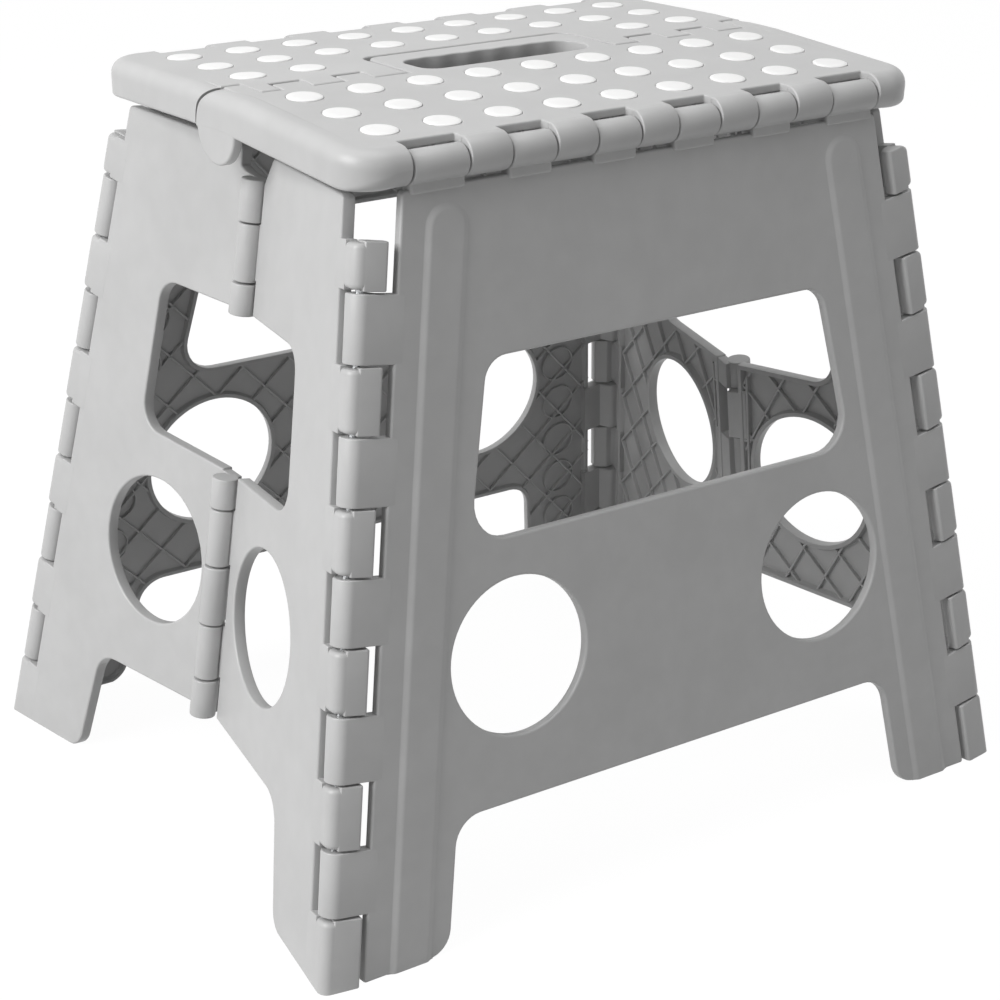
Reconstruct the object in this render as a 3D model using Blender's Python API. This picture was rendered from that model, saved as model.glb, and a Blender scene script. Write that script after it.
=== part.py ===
# Folding step stool: two wide side panels, two ends that each fold in the middle, and a two-part top.
# Metres, +Z up, standing on z = 0. X runs along the wide panels, -Y is the front.
import math

import bmesh
import bpy
from mathutils import Matrix, Vector

# Fold geometry: the corner axes and the middle axis of one end meet at its apex
APEX_X = 0.043
APEX_Z = 1.127
CORNER_X = 0.216
CORNER_Y = 0.1697
END_SAG = 0.018
MIDDLE_X = CORNER_X - END_SAG
LEAN = math.atan2(CORNER_Y, APEX_Z)

# Clearances, and the small steps that keep joined faces apart
GAP = 0.0003
HINGE_GAP = 0.0010
SEAM_GAP = 0.0014
BARREL_GAP = 0.0009
LOOSE_GAP = 0.0011
PIN_PLAY = 0.0010
FACE_STEP = 0.00025
WEB_STEP = 0.0006
WEB_ROOT = 0.0017
WEB_END = 0.0006
PAST = 0.03

# Top hinge axis: just outside the inner face of the leaning panel
TOP_AXIS_Z = 0.3785
TOP_AXIS_OUT = 0.0052933
TOP_AXIS_Y = CORNER_Y * (1 - TOP_AXIS_Z / APEX_Z) + TOP_AXIS_OUT
TOP_SLOPE = math.radians(2.22)

# Wide panels
PANEL_DEPTH = 0.0075
PANEL_SKIN = 0.0032
PANEL_DROP = 0.012
PANEL_TOP_Z = TOP_AXIS_Z - PANEL_DROP
EDGE_BACK = 0.010
SOLE_BELOW = 0.002
FOOT_INNER_X = 0.1507
FOOT_ROUND = 0.014
ARCH_X = 0.1401
ARCH_Z = 0.0645
ARCH_FILLET = 0.014
WINDOW_BOTTOM_X = 0.1210
WINDOW_BOTTOM_Z = 0.1972
WINDOW_TOP_X = 0.1042
WINDOW_LINTEL = 0.0827
WINDOW_TOP_Z = PANEL_TOP_Z - WINDOW_LINTEL
WINDOW_FILLET = 0.010
CIRCLE_X = 0.0973
CIRCLE_Z = 0.1372
CIRCLE_RADIUS = 0.040
RIB_TOP_X = 0.1195
RIB_TOP_DROP = 0.009
RIB_TOP_Z = PANEL_TOP_Z - RIB_TOP_DROP
RIB_BOTTOM_X = 0.1720
RIB_BOTTOM_Z = 0.012
RIB_HALF = 0.0105
RIB_RISE = 0.0018
RIB_ROOT = 0.002
POCKET_WALL = 0.011
POCKET_EDGE = 0.0183
LEG_EDGE = 0.0125
LEG_WALL = 0.0055
LEG_POCKET_Z = 0.020

# Corner hinge: tabs of the wide panel between knuckles of the end
KNUCKLE_DROP = 0.0315
KNUCKLE_TOP_Z = TOP_AXIS_Z - KNUCKLE_DROP
TAB_COUNT = 5
TAB_DROP = 0.039
TAB_TOP_Z = KNUCKLE_TOP_Z - TAB_DROP
TAB_LOW_Z = 0.0512
TAB_PITCH = (TAB_TOP_Z - TAB_LOW_Z) / (TAB_COUNT - 1)
TAB_LENGTH = 0.0315
CORNER_RADIUS = 0.0064
CORNER_PIN_RADIUS = 0.0019
CORNER_PIN_FLOOR = 0.0025
WEB_REACH = 0.0125

# Ends: heights of the middle hinge's joints are drops from the end's top, and heights from the floor
END_DEPTH = 0.0065
END_SKIN = 0.0030
END_TILT = 0.0735
END_DROP = 0.0175
END_TOP_Z = TOP_AXIS_Z - END_DROP
END_TOP_FILLET = 0.004
END_TOP_BACK = 0.002
UPPER_DROPS = (0.013, 0.035, 0.065, 0.082)
UPPER_HINGE = tuple(END_TOP_Z - drop for drop in UPPER_DROPS)
LOWER_HINGE = (0.195, 0.178, 0.147, 0.115, 0.0845, 0.063)
END_WINDOW_TOP_Y = 0.0678
END_WINDOW_TOP_Z = UPPER_HINGE[-1] + 0.0027
END_WINDOW_BOTTOM_Y = 0.0762
END_WINDOW_BOTTOM_Z = LOWER_HINGE[0] + 0.006
END_ARCH_Y = 0.0960
END_ARCH_Z = LOWER_HINGE[-1] - 0.0005
END_FOOT_Y = 0.1095
END_FOOT_ROUND = 0.012
END_CIRCLE_Y = 0.0573
END_CIRCLE_Z = 0.1358
END_POCKET_EDGE = 0.0285
END_LEG_EDGE = 0.017
END_POCKET_MIDDLE = 0.026
MIDDLE_BACK = 0.0072
MIDDLE_REACH = 0.0112
MIDDLE_RADIUS = 0.0062
MIDDLE_PIN_RADIUS = 0.0017

# Top halves: what lies along X is set in from the end of the top
TOP_HALF_X = 0.1715
ROLL_RADIUS = 0.0095
ROLL_SHARE = 0.985
TOP_CORNER = 0.022
DECK_SKIN = 0.0040
RIM_INNER_X = TOP_HALF_X - 0.0135
ROLL_BACK = 0.0115
HINGE_HALF_X = TOP_HALF_X - 0.0315
BARREL_SHARES = ((0.0864, 0.26), (0.4421, 0.6107), (0.7921, 1.0))
BARRELS = tuple((low * HINGE_HALF_X, high * HINGE_HALF_X) for low, high in BARREL_SHARES)
TOP_PIN_RADIUS = 0.0025
TOP_PIN_PAST = 0.0005
TOP_BORE_PAST = 0.0012
NECK_LOW_Z = PANEL_TOP_Z - 0.0165
NECK_HIGH_Z = TOP_AXIS_Z - 0.0015
NECK_IN = 0.0005
FLAP_LOW_Z = PANEL_TOP_Z - 0.0016
FLAP_HIGH_Z = TOP_AXIS_Z - 0.0025
FLAP_IN = 0.005
FLAP_RISE = 0.0026
LUG_X = TOP_HALF_X - 0.020
LUG_OUT_X = TOP_HALF_X - 0.0035
EAR_X = (LUG_X - 0.0107, LUG_X - 0.0025)
FINGERS = ((LUG_X - 0.064, LUG_X - 0.0475), (LUG_X - 0.029, LUG_X - 0.0115))
SEAM_Y = -0.0100
FINGER_Y = 0.0005
TONGUE_X = FINGERS[0][0] - 0.0215
TONGUE_Y = 0.034
TONGUE_CUT = 0.006
TONGUE_DEPTH = 0.009
SLOT_X = TONGUE_X - 0.0135
SLOT_FRONT_Y = -0.0095
SLOT_REAR_Y = 0.0155
SLOT_FILLET = 0.010
TRAY_WALL = 0.0046
TRAY_STEP = 0.0005
SEAM_POCKET = 0.007
EAR_POCKET = 0.005
EAR_ROOM = 0.0015

# Centre pivot: outlines about it are (towards the centre, up, fillet)
PIVOT_Z = TOP_AXIS_Z
PIVOT_PIN_RADIUS = 0.0020
PIVOT_SEAT = 0.003
LUG_FIRST = 88
LUG_JOIN = 64
LUG_WAIST = -35
LUG_SPLIT = -44
LUG_FULL = -120
LUG_LAST = -140
LUG_STEP = 12
LUG_TOP = 0.0175
LUG_LEAST = 0.0082
LUG_LOW = 0.0118
LUG_BACK = 0.020
LUG_NECK = ((-LUG_BACK, -0.0046), (-LUG_BACK, 0.008), (-0.004, 0.012))
LUG_INSET = 0.002
LUG_ROOM = 0.0178
EAR = (
    (-0.0132, 0.0115, 0),
    (-0.0132, -0.0005, 0.004),
    (-0.0050, -0.0118, 0.003),
    (0.0028, -0.0118, 0.003),
    (0.0056, -0.0045, 0.002),
    (0.0056, 0.0115, 0),
)
EAR_HOLE = (
    (-0.0100, 0.0081, 0.003),
    (-0.0100, 0.0006, 0.003),
    (-0.0034, -0.0090, 0.001),
    (0.0024, -0.0090, 0.001),
    (0.0036, -0.0055, 0.002),
    (0.0036, 0.0081, 0.003),
)
RIM_RELIEF = ((-0.010, -0.0026), (-0.042, -0.0066), (-0.042, -PAST), (0.040, -PAST), (0.040, -0.0026))
FRONT_INNER_Y = 0.0168

# Grip dots
DOT_RADIUS = 0.0090
DOT_MARGIN = 0.02024
DOT_SIDE = 4
DOT_PITCH = (RIM_INNER_X - DOT_MARGIN) / DOT_SIDE
DOT_ROWS = (0.0269, 0.0600, 0.0930)
DOT_RISE = 0.0004
DOT_WEB = 0.0012
DOT_WEB_EDGE = 0.001
DOT_TONGUE_ROOM = 0.004

for old in list(bpy.data.objects):
    bpy.data.objects.remove(old)
stool = bpy.data.collections.new("folding_step_stool")
cutters = bpy.data.collections.new("cutters")
cutters.hide_render = True
bpy.context.scene.collection.children.link(stool)
bpy.context.scene.collection.children.link(cutters)


def plastic(name, colour, roughness, metallic=0.0):
    made = bpy.data.materials.new(name)
    made.use_nodes = True
    shader = made.node_tree.nodes["Principled BSDF"]
    shader.inputs["Base Color"].default_value = (*colour, 1)
    shader.inputs["Roughness"].default_value = roughness
    shader.inputs["Metallic"].default_value = metallic
    made.diffuse_color = (*colour, 1)
    return made


def frame_of(across, up, out, origin):
    rows = [(across[i], up[i], out[i], origin[i]) for i in range(3)]
    return Matrix(rows + [(0, 0, 0, 1)])


def keep(name, made):
    bmesh.ops.recalc_face_normals(made, faces=made.faces)
    mesh = bpy.data.meshes.new(name)
    made.to_mesh(mesh)
    made.free()
    mesh.shade_smooth()
    mesh.set_sharp_from_angle(angle=math.radians(38))
    found = bpy.data.objects.new(name, mesh)
    found.hide_render = True
    found.display_type = "WIRE"
    cutters.objects.link(found)
    return found


# A flat outline in a frame, drawn out from one level to another
def prism_mesh(points, frame, low, high):
    made = bmesh.new()
    ring = [made.verts.new(frame @ Vector((u, v, low))) for u, v in points]
    flat = made.faces.new(ring)
    grown = bmesh.ops.extrude_face_region(made, geom=[flat], use_keep_orig=True)["geom"]
    moved = [item for item in grown if isinstance(item, bmesh.types.BMVert)]
    bmesh.ops.translate(made, verts=moved, vec=frame.col[2].xyz * (high - low))
    bmesh.ops.recalc_face_normals(made, faces=made.faces)
    made.normal_update()
    return made, ring


def prism(name, points, frame, low, high):
    made, ring = prism_mesh(points, frame, low, high)
    flat = [face for face in made.faces if len(face.verts) > 4]
    bmesh.ops.triangulate(made, faces=flat, ngon_method="EAR_CLIP")
    return keep(name, made)


def rod(name, start, end, radius, sides=12):
    start = Vector(start)
    along = Vector(end) - start
    made = bmesh.new()
    place = Matrix.Translation(start + along / 2) @ along.to_track_quat("Z", "Y").to_matrix().to_4x4()
    bmesh.ops.create_cone(
        made,
        cap_ends=True,
        segments=sides,
        radius1=radius,
        radius2=radius,
        depth=along.length,
        matrix=place,
    )
    return keep(name, made)


# Corners are (u, v, radius), and each becomes an arc
def filleted(corners, steps=4):
    found = []
    count = len(corners)
    for i, (u, v, radius) in enumerate(corners):
        here = Vector((u, v))
        if radius == 0:
            found.append((u, v))
            continue
        before = (Vector(corners[i - 1][:2]) - here).normalized()
        after = (Vector(corners[(i + 1) % count][:2]) - here).normalized()
        half = before.angle(after) / 2
        middle = here + (before + after).normalized() * radius / math.sin(half)
        first = here + before * radius / math.tan(half) - middle
        turn = first.angle_signed(here + after * radius / math.tan(half) - middle)
        for k in range(steps + 1):
            step = -turn * k / steps
            swung = Matrix.Rotation(step, 2) @ first
            found.append(tuple(middle + swung))
    return found


# Joins and cuts, in order, as Boolean modifiers on the base
def node(name, base, steps, material):
    base.name = name
    cutters.objects.unlink(base)
    stool.objects.link(base)
    base.hide_render = False
    base.display_type = "TEXTURED"
    for i, (operation, tools) in enumerate(steps):
        group = bpy.data.collections.new(f"{name}_{i}_{operation.lower()}")
        cutters.children.link(group)
        for tool in tools:
            cutters.objects.unlink(tool)
            group.objects.link(tool)
        change = base.modifiers.new(f"{operation.lower()}_{i}", "BOOLEAN")
        change.operation = operation
        change.solver = "EXACT"
        change.operand_type = "COLLECTION"
        change.collection = group
    base.data.materials.append(material)


def join(*tools):
    return "UNION", list(tools)


def cut(*tools):
    return "DIFFERENCE", list(tools)


# The point at height z of the axis from a foot to the apex of its end
def on_line(foot, sx, z):
    foot = Vector(foot)
    apex = Vector((sx * APEX_X, 0, APEX_Z))
    return foot + (apex - foot) * (z / APEX_Z)


def corner_at(sx, sy, z):
    return on_line((sx * CORNER_X, sy * CORNER_Y, 0), sx, z)


def middle_at(sx, z):
    return on_line((sx * MIDDLE_X, 0, 0), sx, z)


def top_axis_at(sy, x):
    return Vector((x, sy * TOP_AXIS_Y, TOP_AXIS_Z))


def between(first, second, z):
    part = (z - first[1]) / (second[1] - first[1])
    return first[0] + (second[0] - first[0]) * part


def tab_spans():
    for i in range(TAB_COUNT):
        centre = TAB_TOP_Z - i * TAB_PITCH
        yield centre - TAB_LENGTH / 2, centre + TAB_LENGTH / 2


def knuckle_spans():
    tabs = list(tab_spans())
    tops = [KNUCKLE_TOP_Z] + [low - HINGE_GAP for low, high in tabs]
    bottoms = [high + HINGE_GAP for low, high in tabs] + [-2 * SOLE_BELOW]
    return list(zip(bottoms, tops))


def floor_cut(name):
    x = CORNER_X + PAST
    y = CORNER_Y + PAST
    return prism(name, [(-x, -y), (x, -y), (x, y), (-x, y)], Matrix.Identity(4), -PAST, 0)


grey = plastic("stool_grey", (0.36, 0.36, 0.355), 0.5)
white = plastic("grip_white", (0.85, 0.85, 0.84), 0.55)
steel = plastic("pin_steel", (0.55, 0.56, 0.57), 0.3, 1.0)


# Wide side panels
def panel_frame(sy):
    up = Vector((0, -sy * math.sin(LEAN), math.cos(LEAN)))
    out = Vector((0, sy * math.cos(LEAN), math.sin(LEAN)))
    return frame_of(Vector((1, 0, 0)), up, out, Vector((0, sy * CORNER_Y, 0)))


# Heights given in z, put on the leaning panel
def up_panel(points):
    return [(p[0], p[1] / math.cos(LEAN), *p[2:]) for p in points]


def edge_x(z, back=EDGE_BACK):
    return corner_at(1, 1, z).x - back


def rib_x(z):
    return between((RIB_BOTTOM_X, RIB_BOTTOM_Z), (RIB_TOP_X, RIB_TOP_Z), z)


def window_x(z):
    return between((WINDOW_BOTTOM_X, WINDOW_BOTTOM_Z), (WINDOW_TOP_X, WINDOW_TOP_Z), z)


def both_sides(half):
    return half + [(-p[0], *p[1:]) for p in reversed(half)]


# Shallow hollows of the inner face: the lintel, the middle, and on each side the jamb and the leg
def panel_pockets():
    low, high = WINDOW_TOP_Z + POCKET_WALL, NECK_LOW_Z - POCKET_WALL / 2
    pockets = [both_sides([(rib_x(low), low), (rib_x(high), high)])]
    inner = CIRCLE_X - CIRCLE_RADIUS - POCKET_WALL
    low, high = ARCH_Z + 2 * POCKET_WALL, WINDOW_BOTTOM_Z - POCKET_WALL
    pockets.append(both_sides([(inner, low), (inner, high)]))
    low, high = WINDOW_BOTTOM_Z, WINDOW_TOP_Z
    jamb = [(window_x(low) + POCKET_WALL, low), (edge_x(low) - POCKET_EDGE, low)]
    jamb += [(edge_x(high) - POCKET_EDGE, high), (window_x(high) + POCKET_WALL, high)]
    low, high = LEG_POCKET_Z, ARCH_Z + 2 * POCKET_WALL
    leg = [(FOOT_INNER_X + LEG_WALL, low), (edge_x(low) - LEG_EDGE, low)]
    leg += [(edge_x(high) - LEG_EDGE, high), (ARCH_X + POCKET_WALL, high)]
    for sx in (-1, 1):
        pockets += [[(sx * x, z) for x, z in jamb], [(sx * x, z) for x, z in leg]]
    return pockets


def panel_rib(name, frame, sx):
    corners = [
        (RIB_BOTTOM_X - RIB_HALF, RIB_BOTTOM_Z, RIB_HALF / 2),
        (RIB_BOTTOM_X + RIB_HALF, RIB_BOTTOM_Z, RIB_HALF / 2),
        (RIB_TOP_X + RIB_HALF, RIB_TOP_Z, RIB_HALF * 0.7),
        (RIB_TOP_X - RIB_HALF, RIB_TOP_Z, RIB_HALF * 0.7),
    ]
    outline = filleted([(sx * u, v, r) for u, v, r in up_panel(corners)], 3)
    return prism(name, outline, frame, PANEL_DEPTH - RIB_ROOT, PANEL_DEPTH + RIB_RISE)


# A barrel of the corner hinge with the web that holds it to the panel
def corner_tab(name, frame, sx, sy, low, high):
    barrel = rod(name + "_barrel", corner_at(sx, sy, low), corner_at(sx, sy, high), CORNER_RADIUS)
    z0 = low + 2 * WEB_END
    z1 = high - 2 * WEB_END
    web = up_panel([
        (sx * (edge_x(z0, 0) + WEB_ROOT), z0),
        (sx * edge_x(z0, WEB_REACH), z0),
        (sx * edge_x(z1, WEB_REACH), z1),
        (sx * (edge_x(z1, 0) + WEB_ROOT), z1),
    ])
    return [barrel, prism(name + "_web", web, frame, FACE_STEP, PANEL_DEPTH - FACE_STEP)]


# A barrel of the top hinge with its neck and the flap on the panel's outer face
def top_barrel(name, frame, sx, sy, low, high):
    found = [rod(name + "_roll", top_axis_at(sy, sx * low), top_axis_at(sy, sx * high), ROLL_RADIUS, 16)]
    for part, wide, z0, z1, n0, n1 in (
        ("neck", WEB_END, NECK_LOW_Z, NECK_HIGH_Z, NECK_IN, PANEL_DEPTH - FACE_STEP),
        ("flap", -GAP, FLAP_LOW_Z, FLAP_HIGH_Z, FLAP_IN, PANEL_DEPTH + FLAP_RISE),
    ):
        x0 = sx * (low + wide)
        x1 = sx * (high - wide)
        tall = up_panel([(x0, z0), (x1, z0), (x1, z1), (x0, z1)])
        found.append(prism(f"{name}_{part}", tall, frame, n0, n1))
    return found


def side_panel(sy, name):
    frame = panel_frame(sy)
    outline = both_sides(up_panel([
        (ARCH_X, ARCH_Z, ARCH_FILLET),
        (FOOT_INNER_X, -SOLE_BELOW, FOOT_ROUND),
        (edge_x(-SOLE_BELOW), -SOLE_BELOW, 0),
        (edge_x(PANEL_TOP_Z), PANEL_TOP_Z, 0),
    ]))
    base = prism(name + "_plate", filleted(outline), frame, 0, PANEL_DEPTH)
    window = both_sides(up_panel([
        (WINDOW_BOTTOM_X, WINDOW_BOTTOM_Z, WINDOW_FILLET),
        (WINDOW_TOP_X, WINDOW_TOP_Z, WINDOW_FILLET),
    ]))
    cuts = [prism(name + "_window", filleted(window), frame, -PAST, PAST), floor_cut(name + "_floor")]
    for i, pocket in enumerate(panel_pockets()):
        cuts.append(prism(f"{name}_pocket_{i}", up_panel(pocket), frame, -PAST, PANEL_DEPTH - PANEL_SKIN))
    adds = []
    bores = []
    for sx in (-1, 1):
        centre = up_panel([(sx * CIRCLE_X, CIRCLE_Z)])[0]
        away = [frame @ Vector((*centre, depth)) for depth in (-PAST, PAST)]
        cuts.append(rod(f"{name}_circle_{sx}", *away, CIRCLE_RADIUS, 24))
        adds.append(panel_rib(f"{name}_rib_{sx}", frame, sx))
        for i, (low, high) in enumerate(tab_spans()):
            adds += corner_tab(f"{name}_tab_{sx}_{i}", frame, sx, sy, low, high)
        for i, (low, high) in enumerate(BARRELS):
            adds += top_barrel(f"{name}_top_{sx}_{i}", frame, sx, sy, low, high)
        ends = corner_at(sx, sy, -PAST), corner_at(sx, sy, KNUCKLE_TOP_Z + PAST)
        bores.append(rod(f"{name}_bore_{sx}", *ends, CORNER_PIN_RADIUS + GAP, 10))
    ends = top_axis_at(sy, -TOP_HALF_X), top_axis_at(sy, TOP_HALF_X)
    bores.append(rod(name + "_top_bore", *ends, TOP_PIN_RADIUS + GAP, 10))
    node(name, base, [cut(*cuts), join(*adds), cut(*bores)], grey)


# End halves: the frame of the hinge axes, and the tilted frame of the plate's outer face
def end_frames(sx, sy):
    foot = corner_at(sx, sy, 0)
    up = (corner_at(sx, sy, 1) - foot).normalized()
    across = middle_at(sx, 0) - foot
    across = (across - up * across.dot(up)).normalized()
    out = up.cross(across)
    if out.x * sx < 0:
        out = -out
    axes = frame_of(across, up, out, foot)
    turn = math.atan(END_TILT)
    leaned = across * math.cos(turn) - out * math.sin(turn)
    faced = out * math.cos(turn) + across * math.sin(turn)
    plate = frame_of(leaned, up, faced, foot + out * END_DEPTH)
    return axes, plate


# Place on the plate's outer face of the point with this |y| and z
def on_plate(plate, sy, y, z):
    across, up, origin = plate.col[0], plate.col[1], plate.col[3]
    grid = Matrix(((across[1], up[1]), (across[2], up[2])))
    return tuple(grid.inverted() @ Vector((sy * y - origin[1], z - origin[2])))


def end_corner_y(z, back):
    return corner_at(1, 1, z).y - back


def end_window_y(z):
    top = END_WINDOW_TOP_Y, END_WINDOW_TOP_Z
    return between((END_WINDOW_BOTTOM_Y, END_WINDOW_BOTTOM_Z), top, z)


# Shallow hollows of the inner face as (|y|, z): above the window, beside it, and in the leg
def end_pockets():
    low, high = END_WINDOW_TOP_Z + POCKET_WALL, END_TOP_Z - POCKET_WALL
    upper = [(END_POCKET_MIDDLE, low), (END_POCKET_MIDDLE, high)]
    upper += [(end_corner_y(high, END_POCKET_EDGE), high), (end_corner_y(low, END_POCKET_EDGE), low)]
    low, high = END_WINDOW_BOTTOM_Z, END_WINDOW_TOP_Z
    jamb = [(end_window_y(low) + POCKET_WALL, low), (end_corner_y(low, END_POCKET_EDGE), low)]
    jamb += [(end_corner_y(high, END_POCKET_EDGE), high), (end_window_y(high) + POCKET_WALL, high)]
    low, high = LEG_POCKET_Z, END_ARCH_Z + 2 * POCKET_WALL
    leg = [(END_FOOT_Y + LEG_WALL, low), (end_corner_y(low, END_LEG_EDGE), low)]
    leg += [(end_corner_y(high, END_LEG_EDGE), high), (END_ARCH_Y + POCKET_WALL, high)]
    return upper, jamb, leg


# The knuckles on the corner axis, each with its web to the plate
def corner_knuckles(name, axes, plate, sx, sy):
    found = []
    for i, (low, high) in enumerate(knuckle_spans()):
        ends = corner_at(sx, sy, low), corner_at(sx, sy, high)
        found.append(rod(f"{name}_knuckle_{i}", *ends, CORNER_RADIUS))
        start, end = (axes.inverted() @ point for point in ends)
        z0 = start.y + WEB_END
        z1 = end.y - WEB_END
        web = [(-WEB_ROOT, z0), (WEB_REACH, z0), (WEB_REACH, z1), (-WEB_ROOT, z1)]
        found.append(prism(f"{name}_web_{i}", web, plate, -END_DEPTH + FACE_STEP, -WEB_STEP))
    return found


# The barrels on the middle axis; the two halves of an end take turns, the rear one first
def middle_barrels(name, plate, sx, sy):
    found = []
    own = 0 if sy > 0 else 1
    for part, heights in (("upper", UPPER_HINGE), ("lower", LOWER_HINGE)):
        for i in range(own, len(heights) - 1, 2):
            high = heights[i] - HINGE_GAP / 2
            low = heights[i + 1] + HINGE_GAP / 2
            ends = middle_at(sx, low), middle_at(sx, high)
            found.append(rod(f"{name}_{part}_{i}", *ends, MIDDLE_RADIUS))
            local = [plate.inverted() @ point for point in ends]
            z0 = local[0].y + 2 * WEB_END
            z1 = local[1].y - 2 * WEB_END
            web = [
                (local[0].x - MIDDLE_REACH, z0),
                (local[0].x + WEB_ROOT, z0),
                (local[1].x + WEB_ROOT, z1),
                (local[1].x - MIDDLE_REACH, z1),
            ]
            found.append(prism(f"{name}_{part}_web_{i}", web, plate, -END_DEPTH + WEB_STEP, -WEB_STEP))
    return found


def end_half(sx, sy, name, loose=False):
    axes, plate = end_frames(sx, sy)

    def place(y, z):
        return on_plate(plate, sy, y, z)

    def beside_middle(z):
        local = plate.inverted() @ middle_at(sx, z)
        return local.x - MIDDLE_BACK, local.y

    def beside_corner(z, back=EDGE_BACK):
        local = plate.inverted() @ corner_at(sx, sy, z)
        return local.x + back, local.y

    outline = [
        (*place(END_FOOT_Y, -SOLE_BELOW), END_FOOT_ROUND),
        (*beside_corner(-SOLE_BELOW), 0),
        (*beside_corner(END_TOP_Z, EDGE_BACK + END_TOP_BACK), END_TOP_FILLET),
        (*beside_middle(END_TOP_Z), 0),
        (*beside_middle(UPPER_HINGE[-1]), 0),
        (*place(END_WINDOW_TOP_Y, END_WINDOW_TOP_Z), WINDOW_FILLET),
        (*place(END_WINDOW_BOTTOM_Y, END_WINDOW_BOTTOM_Z), WINDOW_FILLET),
        (*beside_middle(LOWER_HINGE[0]), 0),
        (*beside_middle(END_ARCH_Z), 0),
        (*place(END_ARCH_Y, END_ARCH_Z), ARCH_FILLET),
    ]
    base = prism(name + "_plate", filleted(outline), plate, -END_DEPTH, 0)
    away = [plate @ Vector((*place(END_CIRCLE_Y, END_CIRCLE_Z), depth)) for depth in (-PAST, PAST)]
    cuts = [rod(name + "_circle", *away, CIRCLE_RADIUS, 24)]
    for i, pocket in enumerate(end_pockets()):
        points = [place(y, z) for y, z in pocket]
        cuts.append(prism(f"{name}_pocket_{i}", points, plate, -PAST, -END_SKIN))
    adds = corner_knuckles(name, axes, plate, sx, sy) + middle_barrels(name, plate, sx, sy)
    wide = CORNER_PIN_RADIUS + (LOOSE_GAP if loose else GAP)
    ends = corner_at(sx, sy, CORNER_PIN_FLOOR), corner_at(sx, sy, KNUCKLE_TOP_Z + PAST)
    bores = [rod(name + "_bore", *ends, wide, 10), floor_cut(name + "_sole")]
    ends = middle_at(sx, LOWER_HINGE[-1] - PAST), middle_at(sx, UPPER_HINGE[0] + PAST)
    bores.append(rod(name + "_middle_bore", *ends, MIDDLE_PIN_RADIUS + GAP, 10))
    node(name, base, [cut(*cuts), join(*adds), cut(*bores)], grey)


# Top halves: across is X, up is from the hinge to the centre, out is the deck's own up
def top_frame(sy):
    inward = Vector((0, -sy * math.cos(TOP_SLOPE), math.sin(TOP_SLOPE)))
    out = Vector((0, sy * math.sin(TOP_SLOPE), math.cos(TOP_SLOPE)))
    return frame_of(Vector((1, 0, 0)), inward, out, top_axis_at(sy, 0))


# A frame at the centre pivot: across is towards the centre and outlines are drawn out along X
def side_frame(frame):
    pivot = frame.inverted() @ Vector((0, 0, PIVOT_Z))
    origin = frame @ Vector((0, pivot.y, pivot.z))
    return frame_of(frame.col[1].xyz, frame.col[2].xyz, Vector((1, 0, 0)), origin)


# A plate whose outer edges are fully rounded; outer is the count of leading outline points
def slab(name, outline, frame, outer):
    made, ring = prism_mesh(outline, frame, -ROLL_RADIUS, ROLL_RADIUS)
    above = []
    for i, vert in enumerate(ring):
        beside = (ring[i - 1], ring[(i + 1) % len(ring)])
        above.append(next(e.other_vert(vert) for e in vert.link_edges if e.other_vert(vert) not in beside))
    edges = []
    for i in range(outer - 1):
        for row in (ring, above):
            edges.append(made.edges.get((row[i], row[i + 1])))
    bmesh.ops.bevel(
        made,
        geom=edges,
        offset=ROLL_RADIUS * ROLL_SHARE,
        segments=4,
        profile=0.5,
        affect="EDGES",
        clamp_overlap=False,
    )
    bmesh.ops.remove_doubles(made, verts=made.verts, dist=1e-5)
    flat = [face for face in made.faces if len(face.verts) > 4]
    bmesh.ops.triangulate(made, faces=flat, ngon_method="EAR_CLIP")
    return keep(name, made)


def seam_v(sy, y):
    return TOP_AXIS_Y - sy * y


# The outer edge of a half, from one inner end round to the other
def top_edge(inner):
    return filleted([
        (TOP_HALF_X, inner, 0),
        (TOP_HALF_X, -ROLL_RADIUS, TOP_CORNER),
        (-TOP_HALF_X, -ROLL_RADIUS, TOP_CORNER),
        (-TOP_HALF_X, inner, 0),
    ], 5)


# The stepped seam from x < 0 to x > 0; the rear half is set back from the front one by the gap
def top_seam(sy, inner):
    gap = SEAM_GAP if sy > 0 else 0
    tongue_x = TONGUE_X + gap
    tongue_v = seam_v(sy, TONGUE_Y + gap)
    cut_v = seam_v(sy, TONGUE_Y + gap - TONGUE_CUT)
    straight = seam_v(sy, SEAM_Y if sy > 0 else SEAM_Y - SEAM_GAP)
    finger = seam_v(sy, FINGER_Y + gap)
    right = [(0.0, tongue_v), (tongue_x - TONGUE_CUT, tongue_v), (tongue_x, cut_v), (tongue_x, straight)]
    for low, high in FINGERS:
        right += [(low - gap, straight), (low - gap, finger), (high + gap, finger), (high + gap, straight)]
    right += [(LUG_X - gap, straight), (LUG_X - gap, inner)]
    return [(-x, v) for x, v in reversed(right[1:])] + right


def dot_places(sy):
    for row, reach in enumerate(DOT_ROWS):
        for column in range(-DOT_SIDE, DOT_SIDE + 1):
            by_tongue = abs(column) * DOT_PITCH < TONGUE_X + DOT_RADIUS
            if sy < 0 or row > 0 or not by_tongue:
                yield column * DOT_PITCH, TOP_AXIS_Y - reach


# Edge of the front lug about the pivot, between two angles in degrees: full on top, least at its waist
# where the rear half closes on it, and fuller again below
def lug_arc(first, last):
    found = []
    for turn in range(first, last - 1, -LUG_STEP):
        if turn > LUG_WAIST:
            part = (turn - LUG_WAIST) / (LUG_FIRST - LUG_WAIST)
            reach = LUG_LEAST + (LUG_TOP - LUG_LEAST) * part ** 2
        else:
            part = min((LUG_WAIST - turn) / (LUG_WAIST - LUG_FULL), 1)
            reach = LUG_LEAST + (LUG_LOW - LUG_LEAST) * part ** 1.5
        angle = math.radians(turn)
        found.append((reach * math.cos(angle), reach * math.sin(angle)))
    return found


def along_x(sx, first, second):
    return sorted((sx * first, sx * second))


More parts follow.
